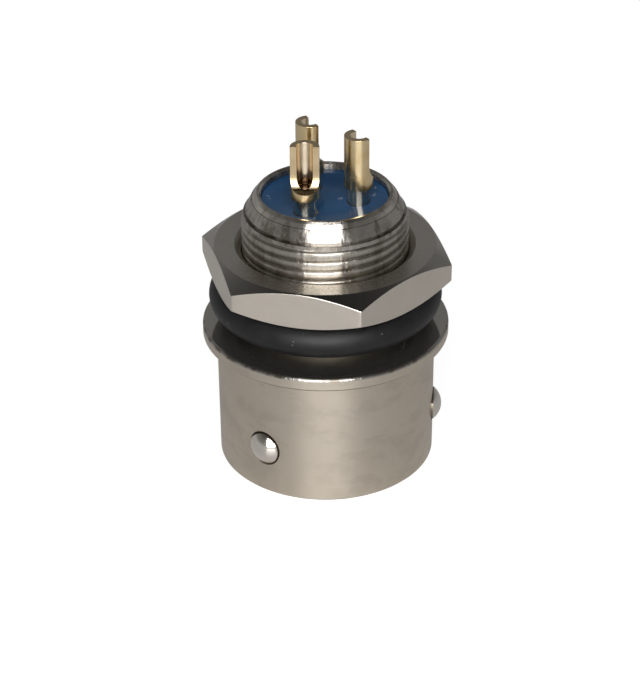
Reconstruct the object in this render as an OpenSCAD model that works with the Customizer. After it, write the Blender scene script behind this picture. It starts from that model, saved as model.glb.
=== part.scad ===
// Panel-mount receptacle of a circular power connector: a turned shell with
// a mating sleeve, a flange and a threaded barrel, three bayonet studs, a
// fixing nut on a sealing ring, and three solder-cup contacts.
// Millimetres. +Z runs from the mating mouth to the solder cups, and the
// origin is the centre of the mouth.

/* [Shell] */
// Outside diameter of the mating sleeve
sleeve_d = 21.3; // [20.8:0.1:22.4]
// Length of the mating sleeve, from its mouth to the flange
sleeve_len = 13.3; // [13:0.1:15]
// Inside diameter of the mating sleeve
socket_d = 18.5; // [18:0.1:18.8]
// Depth of the socket, from the mouth to its inner shoulder
socket_depth = 12; // [11:0.1:12.4]
// Diameter of the panel flange
flange_d = 24; // [23.6:0.1:28]
// Thickness of the panel flange
flange_t = 1.3; // [1:0.1:2]
// Chamfer on the panel side of the flange
flange_chamfer = 0.35; // [0.1:0.05:0.5]
// Outside diameter of the fixing thread
thread_d = 16; // [15.6:0.1:17]
// Length of the threaded part of the barrel
thread_len = 11.6; // [10:0.1:14]
// Diameter of the groove that ends the thread
relief_d = 14.8; // [14.4:0.1:15]
// Width of the groove that ends the thread
relief_w = 0.25; // [0.2:0.05:0.6]
// Diameter of the lip behind the thread, at the foot of its taper
lip_d = 15.1; // [14.9:0.1:15.5]
// Length of the tapered lip behind the thread
lip_len = 1.75; // [1:0.05:2.2]
// Bevel between the taper and the flat end of the barrel
rim_bevel = 0.35; // [0.2:0.05:0.5]
// Width of the flat end of the barrel
rim_flat = 0.2; // [0.1:0.05:0.4]
// Bevel round the mouth of the rear bore
bore_bevel = 0.2; // [0.1:0.05:0.4]
// Inside diameter of the rear bore
rear_bore_d = 12.1; // [11.6:0.1:12.5]
// Diameter of the seat that takes the rear insulator's collar
collar_seat_d = 15.2; // [14.6:0.1:16]
// Depth of the seat that takes the rear insulator's collar
collar_seat_h = 1.4; // [1.2:0.1:1.8]
// Small chamfer on turned edges
edge_chamfer = 0.25; // [0.1:0.05:0.35]

/* [Key] */
// Width of the polarising key inside the socket
key_w = 2.4; // [1.5:0.1:3]
// Height of the polarising key above the socket wall
key_h = 1; // [0.6:0.1:1.4]
// Distance of the key from the mouth
key_start = 1.5; // [0.5:0.1:4]
// Direction of the key round the axis
key_angle = 90; // [80:1:100]

/* [Bayonet studs] */
// Diameter of a stud
stud_d = 3.2; // [2.4:0.1:3.8]
// Height of a stud above the sleeve
stud_out = 0.85; // [0.5:0.05:1.1]
// Height of the stud's straight side above the sleeve
stud_side = 0.2; // [0.1:0.05:0.3]
// Height of the studs above the mouth
stud_z = 5; // [3.5:0.1:6.5]
// Direction of the first stud round the axis
stud_angle = -124.5; // [-130:0.5:-120]
// Chamfer round a stud's hole
stud_hole_chamfer = 0.2; // [0.1:0.05:0.3]

/* [Fixing nut] */
// Distance of the nut's flats inside the flange's edge
nut_inset = 1.25; // [1:0.05:2]
// Thickness of the nut
nut_t = 3.7; // [2.5:0.1:5]
// Distance of the nut's corner chamfer inside its flats
nut_face_inset = 0.15; // [0:0.05:0.6]
// Slope of the nut's corner chamfer
nut_chamfer_angle = 30; // [15:1:35]
// Diameter of the countersink at the nut's bore
nut_sink_d = 17.4; // [17.3:0.1:18.4]
// Direction of the nut's first corner
nut_angle = -15; // [-30:1:30]
// Gap between the sealing ring and the flange
seal_gap = 1.3; // [0.3:0.1:3]

/* [Sealing ring] */
// Thickness of the sealing ring's round section
seal_section = 3.2; // [2:0.1:3.4]

/* [Contacts] */
// Radius of the circle that the contacts stand on
contact_pitch_r = 3.2; // [3.1:0.05:3.5]
// Direction of the first contact round the axis
contact_angle = -5; // [-10:1:10]
// Direction that each solder cup opens to
cup_directions = [34, 26, -92];
// Diameter of a contact's free pin
pin_d = 1.6; // [1.4:0.1:1.8]
// Distance of the pin tips from the mouth
pin_tip = 5; // [3:0.1:6.5]
// Chamfer on a pin's tip
pin_chamfer = 0.3; // [0.2:0.05:0.5]
// Diameter of a contact's shank, which the insulators and the neck share
shank_d = 2; // [1.9:0.1:2.2]
// Length of shank that stands out of the front insulator
shank_out = 0.2; // [0.1:0.05:0.5]
// Diameter of the collar that holds a contact in the insulators
collar_d = 3.4; // [2.8:0.1:3.6]
// Thickness of the collar that holds a contact in the insulators
collar_t = 1; // [0.6:0.1:1.1]
// Height of the bare neck between the insulator and the solder cup
neck_len = 1.7; // [1:0.1:3]
// Outside diameter of the solder cup
cup_d = 2.75; // [2.5:0.05:3]
// Inside diameter of the solder cup
cup_bore_d = 1.6; // [1.4:0.05:2.1]
// Length of the solder cup
cup_len = 5.2; // [4.5:0.1:7]
// Depth of the solder cup's bore
cup_depth = 4.25; // [3.8:0.05:4.4]
// Radius of the cutter that opens the cup's side
cutter_r = 1.7; // [1.5:0.1:5]
// Distance of the cut from the contact's axis
cut_offset = 0.25; // [0.2:0.05:0.8]
// Height of the cut's lower end above the lower edge of the cup
cut_end = 0.8; // [0.1:0.05:1]

/* [Insulators] */
// Depth of the rear insulator's face below the rim of the barrel
face_recess = 1.05; // [0.3:0.05:2]
// Thickness of the front insulator
front_t = 1.4; // [1:0.1:2.2]

/* [Retaining ring] */
// Thickness of the retaining ring
ring_t = 0.8; // [0.5:0.05:1]
// Depth of the retaining ring's groove
ring_groove = 0.5; // [0.3:0.05:0.6]
// Radial width of the retaining ring
ring_w = 1.15; // [0.9:0.05:1.4]
// Opening of the retaining ring at the key
ring_gap = 4.4; // [4:0.1:5]
// Diameter of the eyes at the ring's ends
eye_d = 2; // [1.8:0.1:2.4]
// Diameter of the plier holes in the eyes
eye_hole_d = 0.9; // [0.6:0.05:1.1]

/* [Clearances] */
// Radial gap of the nut and the sealing ring on the thread
thread_gap = 0.08; // [0.05:0.01:0.1]
// Radial gap of pressed and fitted pieces
fit_gap = 0.05; // [0.02:0.01:0.08]
// Gap between faces that meet
face_gap = 0.05; // [0.02:0.01:0.1]

/* [Hidden] */
$fn = 96;
eps = 0.5;
step = 120;

sleeve_r = sleeve_d / 2;
socket_r = socket_d / 2;
flange_r = flange_d / 2;
thread_r = thread_d / 2;
relief_r = relief_d / 2;
lip_r = lip_d / 2;
rear_bore_r = rear_bore_d / 2;
rim_r = rear_bore_r + bore_bevel + rim_flat;
collar_seat_r = collar_seat_d / 2;

flange_top = sleeve_len + flange_t;
thread_top = flange_top + thread_len;
lip_start = thread_top + relief_w;
rim_z = lip_start + lip_len;
collar_seat_top = socket_depth + collar_seat_h;

front_bottom = socket_depth - front_t;
ring_groove_r = socket_r + ring_groove;
ring_groove_top = front_bottom;
ring_bottom = ring_groove_top - face_gap - ring_t;
shank_start = front_bottom - shank_out;

face_z = rim_z - face_recess;
cup_bottom = face_z + neck_len;
cup_top = cup_bottom + cup_len;
cup_floor = cup_top - cup_depth;
// The cutter leaves the cup a little above its lower edge
cut_reach = sqrt(pow(cutter_r, 2) - pow(cutter_r + cut_offset - cup_d / 2, 2));
cut_z = cup_bottom + cut_end + cut_reach;

seal_r = seal_section / 2;
seal_centre_r = thread_r + thread_gap + seal_r;
seal_z = flange_top + seal_gap + seal_r;
nut_bottom = seal_z + seal_r + face_gap;
nut_af = flange_d - 2 * nut_inset;
nut_face_r = nut_af / 2 - nut_face_inset;
nut_corner_r = nut_af / 2 / cos(30);
nut_bore_r = thread_r + thread_gap;
nut_sink_h = nut_sink_d / 2 - nut_bore_r;
// Turned blank that the corner chamfers are cut from
nut_blank_r = nut_corner_r + eps / 2;
nut_chamfer_h = (nut_blank_r - nut_face_r) * tan(nut_chamfer_angle);

// Turned profile of the shell, mouth first and round the outside
shell_profile = [
    [socket_r + edge_chamfer, 0],
    [sleeve_r - edge_chamfer, 0],
    [sleeve_r, edge_chamfer],
    [sleeve_r, sleeve_len],
    [flange_r, sleeve_len],
    [flange_r, flange_top - flange_chamfer],
    [flange_r - flange_chamfer, flange_top],
    [thread_r, flange_top],
    [thread_r, thread_top - (thread_r - relief_r)],
    [relief_r, thread_top],
    [relief_r, lip_start],
    [lip_r, lip_start],
    [rim_r + rim_bevel, rim_z - rim_bevel],
    [rim_r, rim_z],
    [rear_bore_r + bore_bevel, rim_z],
    [rear_bore_r, rim_z - bore_bevel],
    [rear_bore_r, collar_seat_top],
    [collar_seat_r, collar_seat_top],
    [collar_seat_r, socket_depth],
    [socket_r, socket_depth],
    [socket_r, ring_groove_top],
    [ring_groove_r, ring_groove_top],
    [ring_groove_r, ring_bottom],
    [socket_r, ring_bottom],
    [socket_r, edge_chamfer]
];

// Places its children at the three contacts
module at_contact(i) {
    rotate([0, 0, contact_angle + i * step])
        translate([contact_pitch_r, 0, 0])
            children();
}

// Lays a stud's own axis along the radius, with its origin on the shell's axis
module at_stud(i) {
    rotate([0, 0, stud_angle + i * step])
        translate([0, 0, stud_z])
            rotate([0, 90, 0])
                children();
}

module key_bar(gap, low, high) {
    rotate([0, 0, key_angle])
        translate([socket_r - key_h - gap, -key_w / 2 - gap, low])
            cube([key_h + gap + eps, key_w + 2 * gap, high - low]);
}

module stud_hole() {
    cylinder(r = stud_d / 2 + fit_gap, h = flange_r);
    // The chamfer's rim lies on the sleeve's surface
    translate([0, 0, sleeve_r - stud_hole_chamfer])
        cylinder(r1 = stud_d / 2 + fit_gap,
                 r2 = stud_d / 2 + fit_gap + 2 * stud_hole_chamfer,
                 h = 2 * stud_hole_chamfer);
}

module shell() {
    color([0.72, 0.69, 0.64]) {
        difference() {
            rotate_extrude() polygon(shell_profile);
            for (i = [0:2]) at_stud(i) stud_hole();
        }
        // Polarising key, run into the wall that carries it
        difference() {
            key_bar(0, key_start, ring_bottom);
            difference() {
                cylinder(r = flange_r, h = socket_depth);
                cylinder(r = socket_r + eps / 2, h = socket_depth);
            }
        }
    }
}

module bayonet_stud(i) {
    dome_h = stud_out - stud_side;
    dome_r = (pow(stud_d / 2, 2) + pow(dome_h, 2)) / (2 * dome_h);
    inner = socket_r + fit_gap;
    color([0.66, 0.63, 0.58])
        at_stud(i)
            intersection() {
                translate([0, 0, inner]) cylinder(d = stud_d, h = sleeve_r + stud_out - inner);
                translate([0, 0, sleeve_r + stud_out - dome_r]) sphere(r = dome_r);
            }
}

module hex_nut() {
    color([0.7, 0.68, 0.63])
        translate([0, 0, nut_bottom])
            difference() {
                intersection() {
                    rotate([0, 0, nut_angle]) cylinder(r = nut_corner_r, h = nut_t, $fn = 6);
                    rotate_extrude()
                        polygon([
                            [0, 0],
                            [nut_face_r, 0],
                            [nut_blank_r, nut_chamfer_h],
                            [nut_blank_r, nut_t - nut_chamfer_h],
                            [nut_face_r, nut_t],
                            [0, nut_t]
                        ]);
                }
                translate([0, 0, -eps]) cylinder(r = nut_bore_r, h = nut_t + 2 * eps);
                translate([0, 0, nut_t - nut_sink_h])
                    cylinder(r1 = nut_bore_r, r2 = nut_bore_r + 2 * nut_sink_h, h = 2 * nut_sink_h);
                translate([0, 0, -nut_sink_h])
                    cylinder(r1 = nut_bore_r + 2 * nut_sink_h, r2 = nut_bore_r, h = 2 * nut_sink_h);
            }
}

module o_ring() {
    color([0.13, 0.13, 0.13])
        translate([0, 0, seal_z])
            rotate_extrude()
                translate([seal_centre_r, 0])
                    circle(r = seal_r);
}

module rear_insulator() {
    color([0.13, 0.33, 0.48])
        difference() {
            union() {
                translate([0, 0, socket_depth])
                    cylinder(r = rear_bore_r - fit_gap, h = face_z - socket_depth);
                translate([0, 0, socket_depth])
                    cylinder(r = collar_seat_r - fit_gap, h = collar_seat_h);
            }
            for (i = [0:2]) at_contact(i) {
                translate([0, 0, socket_depth - eps])
                    cylinder(d = shank_d + 2 * fit_gap, h = face_z - socket_depth + 2 * eps);
                translate([0, 0, socket_depth - eps])
                    cylinder(d = collar_d + 2 * fit_gap, h = eps + collar_t + face_gap);
            }
        }
}

module front_insulator() {
    color([0.16, 0.36, 0.5])
        difference() {
            translate([0, 0, front_bottom])
                cylinder(r = socket_r - fit_gap, h = front_t);
            for (i = [0:2]) at_contact(i)
                translate([0, 0, front_bottom - eps])
                    cylinder(d = shank_d + 2 * fit_gap, h = front_t + 2 * eps);
        }
}

module retaining_ring() {
    outer = ring_groove_r - fit_gap;
    inner = outer - ring_w;
    color([0.5, 0.5, 0.5])
        rotate([0, 0, key_angle])
            translate([0, 0, ring_bottom])
                difference() {
                    union() {
                        difference() {
                            cylinder(r = outer, h = ring_t);
                            translate([0, 0, -eps]) cylinder(r = inner, h = ring_t + 2 * eps);
                            translate([0, -ring_gap / 2, -eps]) cube([flange_r, ring_gap, ring_t + 2 * eps]);
                        }
                        for (s = [-1, 1]) ring_eye(s, eye_d, 0, ring_t);
                    }
                    for (s = [-1, 1]) ring_eye(s, eye_hole_d, -eps, ring_t + 2 * eps);
                }
}

// Eye at one end of the retaining ring
module ring_eye(side, d, low, h) {
    turn = asin((ring_gap + eye_d) / 2 / (socket_r - ring_w));
    rotate([0, 0, side * turn])
        translate([socket_r - ring_w, 0, low])
            cylinder(d = d, h = h);
}

// Turned outline of a contact: pin, shank with its collar, neck and cup
function contact_profile() = [
    [0, pin_tip],
    [pin_d / 2 - pin_chamfer, pin_tip],
    [pin_d / 2, pin_tip + pin_chamfer],
    [pin_d / 2, shank_start],
    [shank_d / 2, shank_start],
    [shank_d / 2, socket_depth],
    [collar_d / 2, socket_depth],
    [collar_d / 2, socket_depth + collar_t],
    [shank_d / 2, socket_depth + collar_t],
    [shank_d / 2, cup_bottom],
    [cup_d / 2, cup_bottom],
    [cup_d / 2, cup_top],
    [cup_bore_d / 2, cup_top],
    [cup_bore_d / 2, cup_floor],
    [0, cup_floor]
];

module contact(i) {
    color([0.83, 0.7, 0.46])
        at_contact(i)
            rotate([0, 0, cup_directions[i] - contact_angle - i * step])
                difference() {
                    rotate_extrude() polygon(contact_profile());
                    // The side of the cup, opened by a cutter that runs down it
                    rotate([90, 0, 0])
                        linear_extrude(height = 2 * cup_d, center = true) {
                            translate([cut_offset + cutter_r, cut_z]) circle(r = cutter_r);
                            translate([cut_offset, cut_z]) square([2 * cutter_r, cup_top - cut_z + eps]);
                        }
                }
}

shell();
bayonet_stud(0);  // bayonet_stud_1
bayonet_stud(1);  // bayonet_stud_2
bayonet_stud(2);  // bayonet_stud_3
hex_nut();
o_ring();
rear_insulator();
front_insulator();
retaining_ring();
contact(0);  // contact_1
contact(1);  // contact_2
contact(2);  // contact_3
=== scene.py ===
import math

import bmesh
import bpy
import numpy as np
from mathutils import Matrix, Vector


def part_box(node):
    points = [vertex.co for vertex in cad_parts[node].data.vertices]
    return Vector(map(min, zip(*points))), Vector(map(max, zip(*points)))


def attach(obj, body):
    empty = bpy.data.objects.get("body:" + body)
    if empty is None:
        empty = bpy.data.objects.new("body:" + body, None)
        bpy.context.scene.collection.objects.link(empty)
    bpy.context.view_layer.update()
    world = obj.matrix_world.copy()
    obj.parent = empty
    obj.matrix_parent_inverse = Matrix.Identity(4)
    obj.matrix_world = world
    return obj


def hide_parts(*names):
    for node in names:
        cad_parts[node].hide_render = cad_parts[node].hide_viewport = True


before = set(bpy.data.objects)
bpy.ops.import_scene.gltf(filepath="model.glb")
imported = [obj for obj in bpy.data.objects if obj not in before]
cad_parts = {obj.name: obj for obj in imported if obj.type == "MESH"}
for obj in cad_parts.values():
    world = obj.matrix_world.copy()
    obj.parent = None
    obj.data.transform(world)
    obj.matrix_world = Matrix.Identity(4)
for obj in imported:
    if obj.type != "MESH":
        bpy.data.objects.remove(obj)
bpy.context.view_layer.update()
MM = 0.001


# ---------------------------------------------------------------- sizes (mm)
# Heights and places come from the CAD boxes; the small forms repeat the part's own sizes.
# An outline is a list of (radius, height, rounding of the corner), and new_object() turns
# millimetres into metres.


def lo_hi(name):
    a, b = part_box(name)
    return [c / MM for c in a], [c / MM for c in b]


def contact_axis(i):
    a, b = lo_hi("contact_%d" % (i + 1))
    return (a[0] + b[0]) / 2, (a[1] + b[1]) / 2


shell_hi = lo_hi("shell")[1]
nut_lo, nut_hi = lo_hi("hex_nut")
seal_lo, seal_hi = lo_hi("o_ring")
rear_hi = lo_hi("rear_insulator")[1]
front_lo, front_hi = lo_hi("front_insulator")
cup_lo, cup_hi = lo_hi("contact_1")

# shell: sleeve and flange
SLEEVE_R = 10.65
EDGE_CHAMFER = 0.25
BOX_CLEAR = 0.006  # keeps the finely divided flange inside the coarser facets' box
FLANGE_R = shell_hi[0] - BOX_CLEAR
FLANGE_Z0 = 13.3
FLANGE_Z1 = 14.6
FLANGE_BEVEL = 0.18
FLANGE_ROUND = 0.28

# shell: barrel, relief groove, lip and rim
THREAD_R = 8.0
THREAD_DEPTH = 0.24
CORE_R = THREAD_R - THREAD_DEPTH
THREAD_START = FLANGE_Z1 + 2.4
THREAD_TOP = FLANGE_Z1 + 11.6
PLAIN_TOP = FLANGE_Z1 + 2.6  # the foot of the barrel has no thread
CREST_Z = 25.24  # height of one crest, in front
PITCH = 1.0
RELIEF_R = 7.4
UNDERCUT = 0.03
LIP_Z = THREAD_TOP + 0.25
LIP_R = 7.55
RIM_Z = shell_hi[2]
# radius, depth below the rim, rounding
RIM_STEP = [(6.98, 0.64, 0.02), (6.90, 0.64, 0.02), (6.66, 0.24, 0.05), (6.45, 0.0, 0.08)]
BORE_R = 6.05
BORE_BEVEL = 0.2

# shell: socket, the insulators' seats and the retaining ring's groove
SOCKET_R = 9.25
SOCKET_DEPTH = 12.0
SEAT_R = 7.6
SEAT_TOP = 13.4
GROOVE_R = 9.75
GROOVE_Z0 = 9.75
GROOVE_Z1 = 10.6
KEY_HEIGHT = 1.0
KEY_HALF_WIDTH = 1.2
KEY_SINK = 0.3
KEY_Z0 = 1.5
KEY_Z1 = 9.74
KEY_ANGLE = 90
KEY_BEVEL = 0.12
FIT_GAP = 0.05

# bayonet studs
STUD_Z = 5.0
STUD_ANGLES = [-124.5, -4.5, 115.5]
STUD_R = 1.6
STUD_OUT = 0.85
DOME_H = 0.78
DOME_STEPS = 24
# radius, distance from the shell's axis
HOLE_OUTLINE = [(0, 8.6), (1.65, 8.6), (1.65, 10.45), (2.05, 10.85), (2.05, 11.6), (0, 11.6)]

# nut
NUT_ANGLE = -15.0
NUT_FLATS = 21.5
NUT_FACE_R = 10.6
NUT_BORE_R = 8.08
NUT_SINK_R = 8.7
NUT_SINK_H = NUT_SINK_R - NUT_BORE_R
NUT_FILLET = 0.25
NUT_BEVEL = 0.07
NUT_THREAD_DEPTH = 0.45
NUT_Z0 = nut_lo[2]
NUT_Z1 = nut_hi[2]

# rear insulator's face, dished: it climbs the wall of the bore
FACE_Z = rear_hi[2]
DISH_H = 0.36
DISH_START = 0.5
DISH_POWER = 1.3
DISH_STEPS = 16

# contacts
PIN_TIP = cup_lo[2]
PIN_TIP_R = 0.5
PIN_R = 0.8
PIN_CHAMFER = 0.3
SHANK_R = 1.0
SHANK_Z = 10.4
COLLAR_R = 1.7
COLLAR_Z0 = 12.0
COLLAR_Z1 = 13.0
CUP_R = 1.375
CUP_BORE_R = 0.8
CUP_TOP = cup_hi[2]
CUP_BOTTOM = FACE_Z + 1.7
CUP_FLOOR = CUP_TOP - 4.25
CUP_DIRECTIONS = [34.0, 26.0, -92.0]  # where each cup opens to, in degrees from +X
CUT_OFFSET = 0.25
CUT_END = 0.8
CUTTER_R = 1.7
CUTTER_HALF_WIDTH = 2.5
CUTTER_STEPS = 32
NECKS = [contact_axis(i) for i in range(3)]

# pale flux spots on the blue face: x, y and size
FLUX_SPOTS = [
    (3.3, -1.0, 0.35), (4.6, 0.7, 0.35), (4.9, 2.2, 0.22), (-1.6, -3.6, 0.4),
    (-2.3, -4.2, 0.5), (-1.5, -4.3, 0.45), (-5.4, 0.3, 0.3), (1.3, 0.3, 0.2),
]

# divisions round the axis
SHELL_SEG = 256
SEAL_SEG = 256
SEAL_SECTION_SEG = 48
THREAD_SEG = 192
INSULATOR_SEG = 192
CONTACT_SEG = 128
STUD_SEG = 96


# ------------------------------------------------------------- mesh helpers
def new_object(name, verts, faces, body, replaces=()):
    mesh = bpy.data.meshes.new(name)
    mesh.from_pydata([[c * MM for c in v] for v in verts], [], faces)
    mesh.validate()
    obj = bpy.data.objects.new(name, mesh)
    bpy.context.scene.collection.objects.link(obj)
    mesh.polygons.foreach_set("use_smooth", [True] * len(mesh.polygons))
    if body:
        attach(obj, body)
    if replaces:
        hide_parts(*replaces)
    return obj


def rounded(outline, steps=4, closed=True):
    """The outline's (r, z) points, with each corner rounded to its radius."""
    side_share = 0.45  # the most of a side that one corner takes
    out = []
    n = len(outline)
    for i, (x, z, rad) in enumerate(outline):
        if rad <= 0 or (not closed and i in (0, n - 1)):
            out.append((x, z))
            continue
        p = np.array((x, z), float)
        a = np.array(outline[i - 1][:2], float) - p
        b = np.array(outline[(i + 1) % n][:2], float) - p
        la, lb = np.linalg.norm(a), np.linalg.norm(b)
        a, b = a / la, b / lb
        half = math.acos(max(-1.0, min(1.0, float(a @ b)))) / 2
        back = min(rad / math.tan(half), la * side_share, lb * side_share)
        r = back * math.tan(half)
        c = p + (a + b) / np.linalg.norm(a + b) * (r / math.sin(half))
        s, e = p + a * back - c, p + b * back - c
        t0 = math.atan2(s[1], s[0])
        t1 = math.atan2(e[1], e[0])
        d = (t1 - t0 + math.pi) % (2 * math.pi) - math.pi
        for k in range(steps + 1):
            t = t0 + d * k / steps
            out.append((c[0] + r * math.cos(t), c[1] + r * math.sin(t)))
    return out


def lathe(points, seg, closed=True):
    """Verts and faces of (r, z) points turned about the vertical axis."""
    verts, faces, rows = [], [], []
    for r, z in points:
        if r < 1e-6:
            rows.append([len(verts)] * seg)
            verts.append((0.0, 0.0, z))
        else:
            rows.append(list(range(len(verts), len(verts) + seg)))
            for k in range(seg):
                t = 2 * math.pi * k / seg
                verts.append((r * math.cos(t), r * math.sin(t), z))
    n = len(points)
    for i in range(n if closed else n - 1):
        a, b = rows[i], rows[(i + 1) % n]
        for k in range(seg):
            m = (k + 1) % seg
            f = []
            for v in (a[k], a[m], b[m], b[k]):
                if v not in f:
                    f.append(v)
            if len(f) > 2:
                faces.append(f)
    return verts, faces


def turned_normals(obj):
    """Gives each face of a turned form the exact normal of its cylinder, cone or plane."""
    mesh = obj.data
    turned_limit = 0.08  # a face that leans further round the axis was cut, not turned
    on_axis = 1e-7
    normals = [(0, 0, 1)] * len(mesh.loops)
    for p in mesh.polygons:
        t = math.atan2(p.center.y, p.center.x)
        n = p.normal
        nr = n.x * math.cos(t) + n.y * math.sin(t)
        nt = -n.x * math.sin(t) + n.y * math.cos(t)
        for li in p.loop_indices:
            v = mesh.vertices[mesh.loops[li].vertex_index].co
            if abs(nt) > turned_limit or math.hypot(v.x, v.y) < on_axis:
                normals[li] = tuple(n)
                continue
            tv = math.atan2(v.y, v.x)
            normals[li] = (nr * math.cos(tv), nr * math.sin(tv), n.z)
    mesh.normals_split_custom_set(normals)


def cut(obj, cutter):
    """Subtracts cutter from obj, bakes the result and removes the cutter."""
    mod = obj.modifiers.new("cut", "BOOLEAN")
    mod.operation = "DIFFERENCE"
    mod.solver = "EXACT"
    mod.object = cutter
    bpy.context.view_layer.update()
    dg = bpy.context.evaluated_depsgraph_get()
    mesh = bpy.data.meshes.new_from_object(obj.evaluated_get(dg))
    obj.modifiers.remove(mod)
    old = obj.data
    obj.data = mesh
    bpy.data.meshes.remove(old)
    bpy.data.objects.remove(cutter)
    mesh.polygons.foreach_set("use_smooth", [True] * len(mesh.polygons))


def sharp_by_angle(obj, degrees):
    obj.data.polygons.foreach_set("use_smooth", [True] * len(obj.data.polygons))
    obj.data.set_sharp_from_angle(angle=math.radians(degrees))


def bevelled(obj, width, segments):
    bevel = obj.modifiers.new("bevel", "BEVEL")
    bevel.width = width * MM
    bevel.segments = segments
    return bevel


def give_materials(obj, materials, zone):
    """Puts the materials on obj; zone(polygon) says which one a face takes."""
    obj.data.materials.clear()
    for material in materials:
        obj.data.materials.append(material)
    for p in obj.data.polygons:
        p.material_index = zone(p)


def axis_distance(p):
    return math.hypot(p.center.x, p.center.y) / MM


def lay_radially(obj, angle):
    """Turns a form made about the vertical axis to point outward at the studs' height."""
    obj.data.transform(
        Matrix.Translation((0, 0, STUD_Z * MM))
        @ Matrix.Rotation(math.radians(angle), 4, "Z")
        @ Matrix.Rotation(math.radians(90), 4, "Y")
    )


# ----------------------------------------------------------- shader helpers
NOISE_LO, NOISE_HI = 0.3, 0.7  # most of a noise's values lie between these


def nodes_of(name):
    mat = bpy.data.materials.new(name)
    mat.use_nodes = True
    nt = mat.node_tree
    bsdf = nt.nodes["Principled BSDF"]
    return mat, nt, bsdf


def node(nt, kind, **sets):
    n = nt.nodes.new(kind)
    for k, v in sets.items():
        setattr(n, k, v)
    return n


def noise(nt, coords, scale, detail, rough, stretch=(1, 1, 1)):
    m = node(nt, "ShaderNodeMapping")
    m.inputs["Scale"].default_value = stretch
    nt.links.new(coords, m.inputs["Vector"])
    n = node(nt, "ShaderNodeTexNoise")
    n.inputs["Scale"].default_value = scale
    n.inputs["Detail"].default_value = detail
    n.inputs["Roughness"].default_value = rough
    nt.links.new(m.outputs["Vector"], n.inputs["Vector"])
    return n.outputs["Fac"]


def ramp(nt, fac, stops):
    r = node(nt, "ShaderNodeValToRGB")
    el = r.color_ramp.elements
    while len(el) < len(stops):
        el.new(0.5)
    for e, (p, c) in zip(el, stops):
        e.position = p
        e.color = (c, c, c, 1) if isinstance(c, (int, float)) else (*c, 1)
    nt.links.new(fac, r.inputs["Fac"])
    return r.outputs["Color"]


def tones(nt, cloud, dark, light):
    return ramp(nt, cloud, [(NOISE_LO, dark), (NOISE_HI, light)])


def mapped(nt, value, from_lo, from_hi, to_lo, to_hi):
    m = node(nt, "ShaderNodeMapRange")
    m.inputs["From Min"].default_value = from_lo
    m.inputs["From Max"].default_value = from_hi
    m.inputs["To Min"].default_value = to_lo
    m.inputs["To Max"].default_value = to_hi
    nt.links.new(value, m.inputs["Value"])
    return m.outputs["Result"]


def spread(nt, value, lo, hi):
    """A noise's usual values, mapped to lo and hi."""
    return mapped(nt, value, NOISE_LO, NOISE_HI, lo, hi)


def math_node(nt, op, a, b):
    m = node(nt, "ShaderNodeMath", operation=op)
    for sock, v in ((0, a), (1, b)):
        if isinstance(v, (int, float)):
            m.inputs[sock].default_value = v
        else:
            nt.links.new(v, m.inputs[sock])
    return m.outputs[0]


def strongest(nt, masks):
    out = masks[0]
    for mask in masks[1:]:
        out = math_node(nt, "MAXIMUM", out, mask)
    return out


def mix_color(nt, fac, tone, color):
    """The tone where fac is 0, and the plain color where fac is 1."""
    m = node(nt, "ShaderNodeMix", data_type="RGBA")
    nt.links.new(fac, m.inputs[0])
    nt.links.new(tone, m.inputs[6])
    m.inputs[7].default_value = (*color, 1)
    return m.outputs[2]


def bump(nt, height, strength, depth, under=None):
    b = node(nt, "ShaderNodeBump")
    b.inputs["Strength"].default_value = strength
    b.inputs["Distance"].default_value = depth
    nt.links.new(height, b.inputs["Height"])
    if under is not None:
        nt.links.new(under, b.inputs["Normal"])
    return b.outputs["Normal"]


def distance(nt, pos, point):
    """Distance from a point given in mm."""
    gap = node(nt, "ShaderNodeVectorMath", operation="DISTANCE")
    nt.links.new(pos, gap.inputs[0])
    gap.inputs[1].default_value = [c * MM for c in point]
    return gap.outputs["Value"]


# ---------------------------------------------------------------- materials
STAIN_BROWN = (0.20, 0.165, 0.13)
BARE_PLATE = (0.78, 0.69, 0.55)
# dark brown painted shade low in the cups' bores
BORE_SHADE_BROWN = (0.10, 0.06, 0.03)
PALE_SCRATCH = (0.30, 0.36, 0.44)
# painted shade in the gap round each contact
GAP_SHADE_BLACK = (0.003, 0.010, 0.022)
DUST_GREY = (0.16, 0.16, 0.15)


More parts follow.
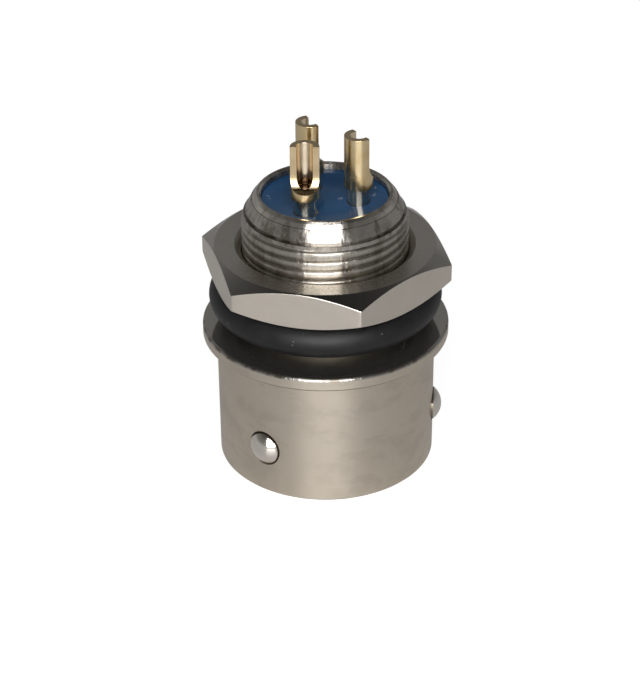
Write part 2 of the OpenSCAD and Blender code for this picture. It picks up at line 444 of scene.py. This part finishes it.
def metal(name, dark, light, rough, grain, aniso=0.0, pit=0.35, dent=0.0, stain=None, metallic=1.0):
    """Plated metal: cloudy tone, roughness that wanders, fine turning marks along the height.

    grain and dent are heights in metres, pit is the share of small pits in the grain, and
    stain is the amount, the scale and the stretch of brown streaks.
    """
    mat, nt, bsdf = nodes_of(name)
    pos = node(nt, "ShaderNodeTexCoord").outputs["Object"]
    tone = tones(nt, noise(nt, pos, 260.0, 5.0, 0.55), dark, light)
    if stain:
        amount, scale, stretch = stain
        streaks = noise(nt, pos, scale, 4.0, 0.65, stretch)
        tone = mix_color(nt, mapped(nt, streaks, 0.50, 0.60, 0.0, amount), tone, STAIN_BROWN)
    nt.links.new(tone, bsdf.inputs["Base Color"])
    bsdf.inputs["Metallic"].default_value = metallic
    wander = noise(nt, pos, 900.0, 3.0, 0.6)
    nt.links.new(spread(nt, wander, *rough), bsdf.inputs["Roughness"])
    marks = noise(nt, pos, 5200.0, 2.0, 0.5, stretch=(0.02, 0.02, 1.0))
    pits = noise(nt, pos, 4200.0, 2.0, 0.5)
    height = math_node(nt, "ADD", marks, math_node(nt, "MULTIPLY", pits, pit))
    dented = None
    if dent:
        dented = bump(nt, noise(nt, pos, 900.0, 3.0, 0.5, stretch=(1.0, 1.0, 0.4)), 1.0, dent)
    nt.links.new(bump(nt, height, 0.35, grain, dented), bsdf.inputs["Normal"])
    if aniso:
        bsdf.inputs["Anisotropic"].default_value = aniso
        bsdf.inputs["Anisotropic Rotation"].default_value = 0.25
        tangent = node(nt, "ShaderNodeTangent", direction_type="RADIAL", axis="Z")
        nt.links.new(tangent.outputs["Tangent"], bsdf.inputs["Tangent"])
    return mat


mat_sleeve = metal(
    "nickel_satin", (0.62, 0.550, 0.458), (0.66, 0.590, 0.498), rough=(0.34, 0.42),
    grain=2e-6, aniso=0.25, stain=(0.12, 420.0, (0.5, 0.5, 1.0)),
)
mat_turned = metal(
    "nickel_turned", (0.44, 0.41, 0.37), (0.50, 0.47, 0.43), rough=(0.24, 0.34),
    grain=4e-7, aniso=0.8, pit=0.1, dent=8e-5, stain=(0.75, 800.0, (1.0, 1.0, 0.25)),
)
mat_rim = metal(
    "nickel_rim", (0.56, 0.52, 0.46), (0.62, 0.58, 0.52), rough=(0.16, 0.24),
    grain=3e-7, aniso=0.5, pit=0.1, dent=5e-5, stain=(0.5, 800.0, (1.0, 1.0, 0.25)),
)
mat_mirror = metal(
    "nickel_mirror", (0.60, 0.57, 0.51), (0.64, 0.61, 0.55), rough=(0.07, 0.12),
    grain=1e-7, pit=0.1, metallic=0.955,
)
# Dark nickel for the barrel's foot under the seal: painted shade.
mat_core_painted_shade = metal(
    "nickel_core_painted_shade", (0.12, 0.108, 0.09), (0.16, 0.144, 0.12), rough=(0.46, 0.56), grain=1e-6
)
# Dark nickel for the studs' holes, the studs' sides and the flange's lower bevel: painted shade.
mat_recess_shade = metal(
    "nickel_recess_painted_shade", (0.22, 0.19, 0.15), (0.28, 0.24, 0.19), rough=(0.36, 0.46), grain=1e-6
)
mat_thread = metal(
    "nickel_thread", (0.38, 0.35, 0.31), (0.48, 0.45, 0.40), rough=(0.24, 0.36),
    grain=8e-7, aniso=0.6, pit=0.3, dent=8e-5, stain=(0.55, 420.0, (1.0, 1.0, 0.35)),
)
mat_nut = metal(
    "nickel_nut", (0.66, 0.605, 0.535), (0.71, 0.65, 0.575), rough=(0.32, 0.38),
    grain=4e-7, pit=0.15,
)
mat_nut_top = metal(
    "nickel_nut_top", (0.66, 0.62, 0.56), (0.71, 0.67, 0.61), rough=(0.24, 0.30),
    grain=2e-7, aniso=0.88, pit=0.02,
)
mat_nut_bevel = metal(
    "nickel_nut_bevel", (0.55, 0.52, 0.47), (0.60, 0.57, 0.52), rough=(0.12, 0.18),
    grain=4e-7, pit=0.15,
)
mat_stud = metal(
    "nickel_stud", (0.72, 0.67, 0.61), (0.78, 0.73, 0.67), rough=(0.10, 0.16), grain=6e-7
)
mat_spring = metal(
    "spring_steel", (0.36, 0.36, 0.36), (0.45, 0.45, 0.45), rough=(0.25, 0.35), grain=1e-6
)


def gold_material(name, dark, light, bore_shade=False):
    """Gold plate on the cup and bare pale plate on the neck below it.

    With the last flag set, it darkens to brown low in the cup's bore: painted shade.
    """
    mat, nt, bsdf = nodes_of(name)
    pos = node(nt, "ShaderNodeTexCoord").outputs["Object"]
    split = node(nt, "ShaderNodeSeparateXYZ")
    nt.links.new(pos, split.inputs["Vector"])
    z = split.outputs["Z"]
    gold = tones(nt, noise(nt, pos, 700.0, 4.0, 0.55), dark, light)
    below_cup = mapped(nt, z, (CUP_BOTTOM - 0.12) * MM, (CUP_BOTTOM + 0.05) * MM, 1.0, 0.0)
    above_collar = mapped(nt, z, (COLLAR_Z1 + 2.0) * MM, (COLLAR_Z1 + 3.0) * MM, 0.0, 1.0)
    base = mix_color(nt, math_node(nt, "MULTIPLY", below_cup, above_collar), gold, BARE_PLATE)
    if bore_shade:
        # painted shade towards the bore's floor, with a ragged edge
        ragged = spread(nt, noise(nt, pos, 2200.0, 3.0, 0.6), -0.25 * MM, 0.25 * MM)
        height = math_node(nt, "ADD", z, ragged)
        bore_shade_mask = mapped(nt, height, (CUP_FLOOR + 0.25) * MM, (CUP_FLOOR + 0.6) * MM, 1.0, 0.0)
        base = mix_color(nt, bore_shade_mask, base, BORE_SHADE_BROWN)
    nt.links.new(base, bsdf.inputs["Base Color"])
    bsdf.inputs["Metallic"].default_value = 1.0
    wander = noise(nt, pos, 1500.0, 3.0, 0.6)
    nt.links.new(spread(nt, wander, 0.16, 0.28), bsdf.inputs["Roughness"])
    marks = noise(nt, pos, 2600.0, 2.0, 0.5, stretch=(1.0, 1.0, 0.08))
    nt.links.new(bump(nt, marks, 0.3, 4e-6), bsdf.inputs["Normal"])
    return mat


def residue(nt, pos):
    """Mask of the pale flux spots on the face, each with a ragged edge."""
    ragged = spread(nt, noise(nt, pos, 2600.0, 3.0, 0.6), -0.35 * MM, 0.35 * MM)
    spots = []
    for x, y, size in FLUX_SPOTS:
        away = math_node(nt, "ADD", distance(nt, pos, (x, y, FACE_Z)), ragged)
        spots.append(mapped(nt, away, 0.5 * size * MM, size * MM, 0.55, 0.0))
    return strongest(nt, spots)


def gap_shade(nt, pos):
    """Mask of painted shade in the gap round each contact."""
    rings = []
    for x, y in NECKS:
        away = distance(nt, pos, (x, y, FACE_Z))
        rings.append(mapped(nt, away, (SHANK_R + 0.08) * MM, (SHANK_R + 0.22) * MM, 0.85, 0.0))
    return strongest(nt, rings)


def blue_material():
    """Glossy dark blue moulding with fine scratches, flux spots and a slightly uneven skin."""
    mat, nt, bsdf = nodes_of("blue_insulator")
    pos = node(nt, "ShaderNodeTexCoord").outputs["Object"]
    cloud = noise(nt, pos, 300.0, 3.0, 0.5)
    blue = tones(nt, cloud, (0.008, 0.062, 0.170), (0.016, 0.088, 0.215))
    along_y = noise(nt, pos, 1200.0, 2.0, 0.4, stretch=(1.0, 0.06, 1.0))
    along_x = noise(nt, pos, 900.0, 2.0, 0.4, stretch=(0.07, 1.0, 1.0))
    scratches = mapped(nt, strongest(nt, [along_y, along_x]), 0.70, 0.78, 0.0, 0.5)
    marked = mix_color(nt, strongest(nt, [scratches, residue(nt, pos)]), blue, PALE_SCRATCH)
    nt.links.new(mix_color(nt, gap_shade(nt, pos), marked, GAP_SHADE_BLACK), bsdf.inputs["Base Color"])
    nt.links.new(spread(nt, cloud, 0.08, 0.15), bsdf.inputs["Roughness"])
    bsdf.inputs["IOR"].default_value = 1.5
    skin = noise(nt, pos, 420.0, 2.0, 0.4)
    nt.links.new(bump(nt, skin, 0.25, 1.3e-5), bsdf.inputs["Normal"])
    return mat


def rubber_material():
    """Black moulded rubber with a fine skin and a little dust."""
    mat, nt, bsdf = nodes_of("seal_rubber")
    pos = node(nt, "ShaderNodeTexCoord").outputs["Object"]
    cloud = noise(nt, pos, 500.0, 4.0, 0.55)
    black = tones(nt, cloud, (0.005, 0.005, 0.006), (0.010, 0.010, 0.011))
    cells = node(nt, "ShaderNodeTexVoronoi", feature="F1")
    cells.inputs["Scale"].default_value = 900.0
    nt.links.new(pos, cells.inputs["Vector"])
    specks = mapped(nt, cells.outputs["Distance"], 0.04, 0.10, 1.0, 0.0)
    patch = mapped(nt, noise(nt, pos, 350.0, 2.0, 0.5), 0.52, 0.6, 0.0, 0.6)
    dust = math_node(nt, "MULTIPLY", specks, patch)
    nt.links.new(mix_color(nt, dust, black, DUST_GREY), bsdf.inputs["Base Color"])
    nt.links.new(spread(nt, cloud, 0.40, 0.52), bsdf.inputs["Roughness"])
    bsdf.inputs["Specular IOR Level"].default_value = 0.37
    skin = noise(nt, pos, 2600.0, 3.0, 0.6, stretch=(0.25, 0.25, 1.0))
    nt.links.new(bump(nt, skin, 0.3, 1e-5), bsdf.inputs["Normal"])
    return mat


mat_gold = gold_material("gold_plate", (0.73, 0.55, 0.29), (0.83, 0.67, 0.42))
# A darker copy of the gold plate on the cups' cut faces: painted shade.
mat_gold_cut_shade = gold_material("gold_cut_painted_shade", (0.46, 0.35, 0.20), (0.56, 0.44, 0.28))
mat_gold_bore = gold_material("gold_bore", (0.76, 0.62, 0.44), (0.86, 0.73, 0.55), True)
mat_blue = blue_material()
mat_rubber = rubber_material()

# -------------------------------------------------------------------- shell
outline = [
    (SOCKET_R + EDGE_CHAMFER, 0, 0.06), (SLEEVE_R - EDGE_CHAMFER, 0, 0.06),
    (SLEEVE_R, EDGE_CHAMFER, 0.06), (SLEEVE_R, FLANGE_Z0, 0.05),
    (FLANGE_R - FLANGE_BEVEL, FLANGE_Z0, 0.04), (FLANGE_R, FLANGE_Z0 + FLANGE_BEVEL, 0.04),
    (FLANGE_R, FLANGE_Z1, FLANGE_ROUND),
    (CORE_R, FLANGE_Z1, 0), (CORE_R, PLAIN_TOP, 0), (CORE_R, THREAD_TOP, 0),
    (RELIEF_R - UNDERCUT, THREAD_TOP, 0), (RELIEF_R - UNDERCUT, LIP_Z, 0.02),
    (LIP_R, LIP_Z, 0.04), *[(r, RIM_Z - depth, rad) for r, depth, rad in RIM_STEP],
    (BORE_R + BORE_BEVEL, RIM_Z, 0.03), (BORE_R, RIM_Z - BORE_BEVEL, 0.03),
    (BORE_R, SEAT_TOP, 0), (SEAT_R, SEAT_TOP, 0), (SEAT_R, SOCKET_DEPTH, 0),
    (SOCKET_R, SOCKET_DEPTH, 0), (SOCKET_R, GROOVE_Z1, 0), (GROOVE_R, GROOVE_Z1, 0),
    (GROOVE_R, GROOVE_Z0, 0), (SOCKET_R, GROOVE_Z0, 0.03), (SOCKET_R, EDGE_CHAMFER, 0.06),
]
v, f = lathe(rounded(outline), SHELL_SEG)
shell = new_object("shell_turned", v, f, None)
for a in STUD_ANGLES:
    v, f = lathe(HOLE_OUTLINE, STUD_SEG)
    tool = new_object("stud_hole_cutter", v, f, None)
    lay_radially(tool, a)
    cut(shell, tool)
turned_normals(shell)
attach(shell, "connector")
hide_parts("shell")

SLEEVE, TURNED, MIRROR, SHADED_FOOT, RIM, SHADED_RECESS = range(6)


def shell_zone(p):
    r, z = axis_distance(p), p.center.z / MM
    if FLANGE_Z1 - 0.01 < z < PLAIN_TOP and BORE_R + 0.5 < r < CORE_R + 0.1:
        return SHADED_FOOT  # plain foot of the barrel under the seal at rest, darkened as painted shade
    if abs(z - STUD_Z) < 2.1 and SOCKET_R + 0.05 < r < SLEEVE_R - 0.02:
        return SHADED_RECESS  # walls of the studs' holes, darkened as painted shade
    if z > RIM_Z - 0.6:
        return RIM
    if z > FLANGE_Z1 + 0.1:
        return TURNED  # lip, relief groove and bore
    if z > FLANGE_Z1 - 0.03 and r > CORE_R:
        return MIRROR  # top of the flange
    if FLANGE_Z0 < z < FLANGE_Z0 + 0.17 and r > SLEEVE_R + 0.2:
        return SHADED_RECESS  # lower bevel of the flange, darkened as painted shade under its edge
    if z > FLANGE_Z1 - FLANGE_ROUND and r > CORE_R:
        return TURNED  # rounded upper edge of the flange
    return SLEEVE


shell_materials = (mat_sleeve, mat_turned, mat_mirror, mat_core_painted_shade, mat_rim, mat_recess_shade)
give_materials(shell, shell_materials, shell_zone)

# key inside the socket
x0, x1, y1 = SOCKET_R - KEY_HEIGHT, SOCKET_R + KEY_SINK, KEY_HALF_WIDTH
plan = [(x0, -y1), (x1, -y1), (x1, y1), (x0, y1)]
v = [(x, y, z) for z in (KEY_Z0, KEY_Z1) for x, y in plan]
f = [(0, 3, 2, 1), (4, 5, 6, 7), (0, 1, 5, 4), (1, 2, 6, 5), (2, 3, 7, 6), (3, 0, 4, 7)]
key = new_object("socket_key", v, f, None)
key.data.transform(Matrix.Rotation(math.radians(KEY_ANGLE), 4, "Z"))
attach(key, "connector")
bevelled(key, KEY_BEVEL, 3)
key.data.materials.append(mat_sleeve)
sharp_by_angle(key, 40)


# ------------------------------------------------------------------ threads
def thread_form(steps=12, fullness=0.8):
    """(offset in turns, height from 0 at the root to 1 at the crest) over one turn."""
    form = []
    for k in range(steps):
        turn = -0.5 + k / steps
        form.append((turn, math.sqrt(max(0.0, 1 - (2 * turn) ** 2)) ** fullness))
    return form


def thread_surface(name, body, r_of, z0, z1, inner):
    """A helical surface: rows follow a right-hand helix, so the crests stay crisp.

    r_of(h, z) is the radius for a height h of the form; what lies past z0 or z1 is drawn
    back to them.
    """
    rows = []
    for k in range(math.floor(z0 - CREST_Z) - 2, math.ceil(z1 - CREST_Z) + 2):
        for turn, h in thread_form():
            rows.append((CREST_Z + (k + turn) * PITCH, h))
    verts, faces = [], []
    for row_z, h in rows:
        for j in range(THREAD_SEG + 1):
            t = -math.pi / 2 + 2 * math.pi * (j / THREAD_SEG - 0.5)
            z = row_z + (j / THREAD_SEG - 0.5) * PITCH
            r = r_of(h, z)
            verts.append((r * math.cos(t), r * math.sin(t), min(max(z, z0), z1)))
    n = THREAD_SEG + 1
    for i in range(len(rows) - 1):
        for j in range(THREAD_SEG):
            a, b = i * n + j, i * n + j + 1
            q = (a, b, b + n, a + n)
            if len({round(verts[x][2], 5) for x in q}) > 1:
                faces.append(q if not inner else q[::-1])
    obj = new_object(name, verts, faces, None)
    bm = bmesh.new()
    bm.from_mesh(obj.data)
    bmesh.ops.remove_doubles(bm, verts=bm.verts, dist=1e-7)
    bm.to_mesh(obj.data)
    bm.free()
    sharp_by_angle(obj, 50)
    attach(obj, body)
    obj.data.materials.append(mat_thread)


def barrel_r(h, z):
    """The form on the core; it runs out at 45 degrees into the relief groove."""
    r = CORE_R + THREAD_DEPTH * h
    return max(CORE_R, min(r, RELIEF_R + max(0.0, THREAD_TOP - z), THREAD_R))


def nut_thread_r(h, z):
    return NUT_BORE_R + NUT_THREAD_DEPTH * (1 - h)


thread_surface(
    "barrel_thread", "connector", barrel_r, THREAD_START, THREAD_TOP, inner=False
)

# -------------------------------------------------------------------- studs
stud_top = SLEEVE_R + STUD_OUT
stud_foot = SOCKET_R + FIT_GAP
dome_r = (STUD_R * STUD_R + DOME_H * DOME_H) / (2 * DOME_H)
dome_angle = math.asin(STUD_R / dome_r)
stud_points = [(0, stud_foot), (STUD_R, stud_foot), (STUD_R, stud_top - DOME_H)]
for k in range(DOME_STEPS):
    t = dome_angle * (1 - k / DOME_STEPS)
    stud_points.append((dome_r * math.sin(t), stud_top - dome_r + dome_r * math.cos(t)))
stud_points.append((0, stud_top))

DOME, SHADED_SIDE = range(2)


# The stud's short side takes the dark recess metal: painted shade round its foot.
def stud_zone(p):
    return SHADED_SIDE if axis_distance(p) > STUD_R - 0.015 else DOME


for i, a in enumerate(STUD_ANGLES):
    v, f = lathe(stud_points, STUD_SEG, closed=False)
    stud = new_object("stud_%d" % (i + 1), v, f, None)
    give_materials(stud, (mat_stud, mat_recess_shade), stud_zone)
    lay_radially(stud, a)
    sharp_by_angle(stud, 60)
    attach(stud, "connector")
    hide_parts("bayonet_stud_%d" % (i + 1))

# ---------------------------------------------------------------------- nut
COS_30, TAN_30 = math.cos(math.radians(30)), math.tan(math.radians(30))


def direction(t):
    return np.array([math.cos(t), math.sin(t)])


def hexagon(corner_steps=8, flat_steps=32):
    """Points of the nut's outline seen from above, with rounded corners."""
    centre_r = NUT_FLATS / 2 / COS_30 - NUT_FILLET / COS_30
    points = []
    for k in range(6):
        c = math.radians(NUT_ANGLE + 60 * k)
        here = direction(c) * centre_r
        following = direction(math.radians(NUT_ANGLE + 60 * (k + 1))) * centre_r
        for s in range(corner_steps + 1):
            t = c + math.radians(-30 + 60 * s / corner_steps)
            points.append(here + NUT_FILLET * direction(t))
        off = NUT_FILLET * direction(c + math.radians(30))
        for s in range(1, flat_steps):
            points.append(here + off + (following - here) * s / flat_steps)
    return points


def circle(r, z):
    """A loop on a circle, with one point for each point of the outline."""
    return lambda p: (r * p[0] / math.hypot(*p), r * p[1] / math.hypot(*p), z)


def cone_drop(p):
    """How far the 30 degree cone cuts an outline point back from the nut's face."""
    return max(0.0, math.hypot(*p) - NUT_FACE_R) * TAN_30


points = hexagon()
loops = [
    circle(NUT_BORE_R, NUT_Z0 + NUT_SINK_H), circle(NUT_SINK_R, NUT_Z0),
    circle(NUT_FACE_R, NUT_Z0), lambda p: (p[0], p[1], NUT_Z0 + cone_drop(p)),
    lambda p: (p[0], p[1], NUT_Z1 - cone_drop(p)), circle(NUT_FACE_R, NUT_Z1),
    circle(NUT_SINK_R, NUT_Z1), circle(NUT_BORE_R, NUT_Z1 - NUT_SINK_H),
]
v = [loop(p) for loop in loops for p in points]
f = []
n = len(points)
for a in range(0, n * (len(loops) - 1), n):
    for k in range(n):
        m = (k + 1) % n
        f.append((a + k, a + m, a + n + m, a + n + k))
nut = new_object("nut_body", v, f, "nut", replaces=("hex_nut",))
sharp_by_angle(nut, 25)
bevel = bevelled(nut, NUT_BEVEL, 2)
bevel.limit_method = "ANGLE"
bevel.angle_limit = math.radians(25)
bevel.harden_normals = True

FLAT, FACE, CONE = range(3)


def nut_zone(p):
    if abs(p.normal.z) > 0.99:
        return FACE
    if abs(p.normal.z) > 0.3 and axis_distance(p) > 9.5:
        return CONE
    return FLAT


give_materials(nut, (mat_nut, mat_nut_top, mat_nut_bevel), nut_zone)
overlap = 0.02  # the thread's ends lie inside the countersinks
thread_surface(
    "nut_thread", "nut", nut_thread_r, NUT_Z0 + NUT_SINK_H - overlap,
    NUT_Z1 - NUT_SINK_H + overlap, inner=True,
)

# ------------------------------------------------------------- sealing ring
section_r = (seal_hi[2] - seal_lo[2]) / 2
ring_r = seal_hi[0] - section_r
ring_z = (seal_hi[2] + seal_lo[2]) / 2
section = []
for k in range(SEAL_SECTION_SEG):
    t = 2 * math.pi * k / SEAL_SECTION_SEG
    section.append((ring_r + section_r * math.cos(t), ring_z + section_r * math.sin(t)))
v, f = lathe(section, SEAL_SEG)
seal = new_object("seal_ring", v, f, "seal", replaces=("o_ring",))
seal.data.materials.append(mat_rubber)


# --------------------------------------------------------------- insulators
def insulator(name, outline, node_name):
    v, f = lathe(rounded(outline, 3, closed=False), INSULATOR_SEG, closed=False)
    obj = new_object(name, v, f, "connector", replaces=(node_name,))
    turned_normals(obj)
    obj.data.materials.append(mat_blue)


rear_r = BORE_R - FIT_GAP
collar_r = SEAT_R - FIT_GAP
outline = [(0, SOCKET_DEPTH, 0), (collar_r, SOCKET_DEPTH, 0.1), (collar_r, SEAT_TOP, 0.1)]
outline.append((rear_r, SEAT_TOP, 0))
for k in range(DISH_STEPS, -1, -1):
    climb = max(0.0, (k / DISH_STEPS - DISH_START) / (1 - DISH_START))
    outline.append((rear_r * k / DISH_STEPS, FACE_Z + DISH_H * climb**DISH_POWER, 0))
insulator("insulator_rear", outline, "rear_insulator")

front_r = SOCKET_R - FIT_GAP
outline = [(0, front_lo[2], 0), (front_r, front_lo[2], 0.12), (front_r, front_hi[2], 0.1)]
outline.append((0, front_hi[2], 0))
insulator("insulator_front", outline, "front_insulator")

# ----------------------------------------------------------------- contacts
# the cutter's round end leaves the cup's outer face at CUT_END above the cup's bottom
reach = math.sqrt(CUTTER_R**2 - (CUTTER_R + CUT_OFFSET - CUP_R) ** 2)
CUT_Z = CUP_BOTTOM + CUT_END + reach
CONTACT_OUTLINE = [
    (0, PIN_TIP, 0), (PIN_TIP_R, PIN_TIP, 0.1), (PIN_R, PIN_TIP + PIN_CHAMFER, 0.1),
    (PIN_R, SHANK_Z, 0), (SHANK_R, SHANK_Z, 0.05), (SHANK_R, COLLAR_Z0, 0),
    (COLLAR_R, COLLAR_Z0, 0), (COLLAR_R, COLLAR_Z1, 0), (SHANK_R, COLLAR_Z1, 0),
    (SHANK_R, CUP_BOTTOM, 0.08), (CUP_R, CUP_BOTTOM, 0.07), (CUP_R, CUP_TOP, 0.05),
    (CUP_BORE_R, CUP_TOP, 0.05), (CUP_BORE_R, CUP_FLOOR, 0.1), (0, CUP_FLOOR, 0),
]


def cup_cutter():
    """A slab with a round lower end, its axis across the opening."""
    above = CUP_TOP + 1
    side = [(CUT_OFFSET, above)]
    for k in range(CUTTER_STEPS + 1):
        t = math.pi + math.pi * k / CUTTER_STEPS
        x = CUT_OFFSET + CUTTER_R + CUTTER_R * math.cos(t)
        side.append((x, CUT_Z + CUTTER_R * math.sin(t)))
    side.append((CUT_OFFSET + 2 * CUTTER_R, above))
    m = len(side)
    v = [(x, y, z) for y in (-CUTTER_HALF_WIDTH, CUTTER_HALF_WIDTH) for x, z in side]
    f = [tuple(range(m)), tuple(range(2 * m - 1, m - 1, -1))]
    f += [(k + m, (k + 1) % m + m, (k + 1) % m, k) for k in range(m)]
    tool = new_object("cup_cutter", v, f, None)
    bm = bmesh.new()
    bm.from_mesh(tool.data)
    bmesh.ops.recalc_face_normals(bm, faces=bm.faces)
    bm.to_mesh(tool.data)
    bm.free()
    return tool


PLATE, SHADED_CUT_FACE, CUP_BORE = range(3)


def contact_zone(cx, cy):
    def zone(p):
        r = math.hypot(p.center.x / MM - cx, p.center.y / MM - cy)
        z = p.center.z / MM
        inside = z > CUP_BOTTOM + 0.3 and r < CUP_R - 0.015
        if inside and (p.normal.z < 0.9 or z < CUP_FLOOR + 0.1):
            return CUP_BORE if r < CUP_BORE_R + 0.03 else SHADED_CUT_FACE
        return PLATE

    return zone


for i, (cx, cy) in enumerate(NECKS):
    v, f = lathe(rounded(CONTACT_OUTLINE, 3, closed=False), CONTACT_SEG, closed=False)
    con = new_object("contact_turned_%d" % (i + 1), v, f, None)
    tool = cup_cutter()
    tool.data.transform(Matrix.Rotation(math.radians(CUP_DIRECTIONS[i]), 4, "Z"))
    cut(con, tool)
    turned_normals(con)
    con.data.transform(Matrix.Translation((cx * MM, cy * MM, 0)))
    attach(con, "connector")
    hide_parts("contact_%d" % (i + 1))
    give_materials(con, (mat_gold, mat_gold_cut_shade, mat_gold_bore), contact_zone(cx, cy))

# ----------------------------------------------------------- retaining ring
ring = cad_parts["retaining_ring"]
ring.data.materials.clear()
ring.data.materials.append(mat_spring)
ring.data.polygons.foreach_set("use_smooth", [False] * len(ring.data.polygons))

# -------------------------------------------------------------------- stage
# The floor glows for the camera, less within 0.2 m of the part, where it shows the shadow,
# than 0.6 m away. It glows only a little where the metal mirrors it.
FLOOR_HALF = 3
floor_mesh = bpy.data.meshes.new("floor")
floor_corners = [(-FLOOR_HALF, -FLOOR_HALF, 0), (FLOOR_HALF, -FLOOR_HALF, 0)]
floor_corners += [(FLOOR_HALF, FLOOR_HALF, 0), (-FLOOR_HALF, FLOOR_HALF, 0)]
floor_mesh.from_pydata(floor_corners, [], [(0, 1, 2, 3)])
floor = bpy.data.objects.new("floor", floor_mesh)
bpy.context.scene.collection.objects.link(floor)
mat, nt, bsdf = nodes_of("floor_paper")
bsdf.inputs["Base Color"].default_value = (0.53, 0.53, 0.53, 1)
bsdf.inputs["Roughness"].default_value = 0.34
path = node(nt, "ShaderNodeLightPath")
place = node(nt, "ShaderNodeNewGeometry").outputs["Position"]
glow = mapped(nt, distance(nt, place, (0, 0, 0)), 0.2, 0.6, 0.8, 0.97)
seen = math_node(nt, "MULTIPLY", path.outputs["Is Camera Ray"], glow)
indirect = [path.outputs["Is Glossy Ray"], path.outputs["Is Transmission Ray"]]
mirrored = math_node(nt, "MULTIPLY", strongest(nt, indirect), 0.10)
bsdf.inputs["Emission Color"].default_value = (1, 1, 1, 1)
nt.links.new(math_node(nt, "ADD", seen, mirrored), bsdf.inputs["Emission Strength"])
floor_mesh.materials.append(mat)

# The world is a soft room, darker overhead and low behind; the camera itself sees it white.
world = bpy.data.worlds.new("studio")
bpy.context.scene.world = world
world.use_nodes = True
nt = world.node_tree
bg = nt.nodes["Background"]
sky = node(nt, "ShaderNodeSeparateXYZ")
nt.links.new(node(nt, "ShaderNodeTexCoord").outputs["Generated"], sky.inputs["Vector"])
room = [(0.0, 0.46), (0.2, 0.32), (0.36, 0.17), (0.5, 0.17), (0.78, 0.07), (1.0, 0.025)]
by_height = ramp(nt, sky.outputs["Z"], room)
by_side = mapped(nt, sky.outputs["X"], -1.0, 1.0, 1.12, 0.88)
twice_up = math_node(nt, "MULTIPLY", sky.outputs["Z"], 2.0)
low_behind = math_node(nt, "SUBTRACT", sky.outputs["Y"], twice_up)
by_depth = mapped(nt, low_behind, 0.2, 0.8, 1.0, 0.55)
level = math_node(nt, "MULTIPLY", math_node(nt, "MULTIPLY", by_height, by_side), by_depth)
path = node(nt, "ShaderNodeLightPath")
white = mix_color(nt, path.outputs["Is Camera Ray"], level, (1.0, 1.0, 1.0))
nt.links.new(white, bg.inputs["Color"])
bg.inputs["Strength"].default_value = 1.0

# One large soft box in front: its width is that of the bright column on the turned metal.
BOX_PLACE, BOX_AIM, BOX_SIZE = (-11, -420, 250), (0, 0, 20), (390, 420)
light = bpy.data.lights.new("front_box", "AREA")
light.shape = "RECTANGLE"
light.size, light.size_y = BOX_SIZE[0] * MM, BOX_SIZE[1] * MM
light.energy = 2.8
box = bpy.data.objects.new("front_box", light)
bpy.context.scene.collection.objects.link(box)
box.location = [c * MM for c in BOX_PLACE]
aim = Vector([c * MM for c in BOX_AIM]) - Vector(box.location)
box.rotation_euler = aim.to_track_quat("-Z", "Y").to_euler()

# ------------------------------------------------------------------- camera
# Fitted to the photo: focal length and picture height in pixels, place, tilt and roll.
FOCAL_PX, PICTURE_PX = 1987.79, 679.0
SENSOR = 36.0
CAMERA_PLACE = (-0.57 * MM, -168.4 * MM, 111.35 * MM)
CAMERA_TILT, CAMERA_ROLL = 59.438, -0.495
cam_data = bpy.data.cameras.new("camera")
cam = bpy.data.objects.new("camera", cam_data)
bpy.context.scene.collection.objects.link(cam)
cam_data.sensor_width = SENSOR
cam_data.lens = SENSOR * FOCAL_PX / PICTURE_PX
cam_data.clip_start = 0.005
cam_data.clip_end = 20.0
cam.matrix_world = (
    Matrix.Translation(CAMERA_PLACE)
    @ Matrix.Rotation(math.radians(CAMERA_TILT), 4, "X")
    @ Matrix.Rotation(math.radians(CAMERA_ROLL), 4, "Z")
)
bpy.context.scene.camera = cam
bpy.context.scene.view_settings.view_transform = "Standard"
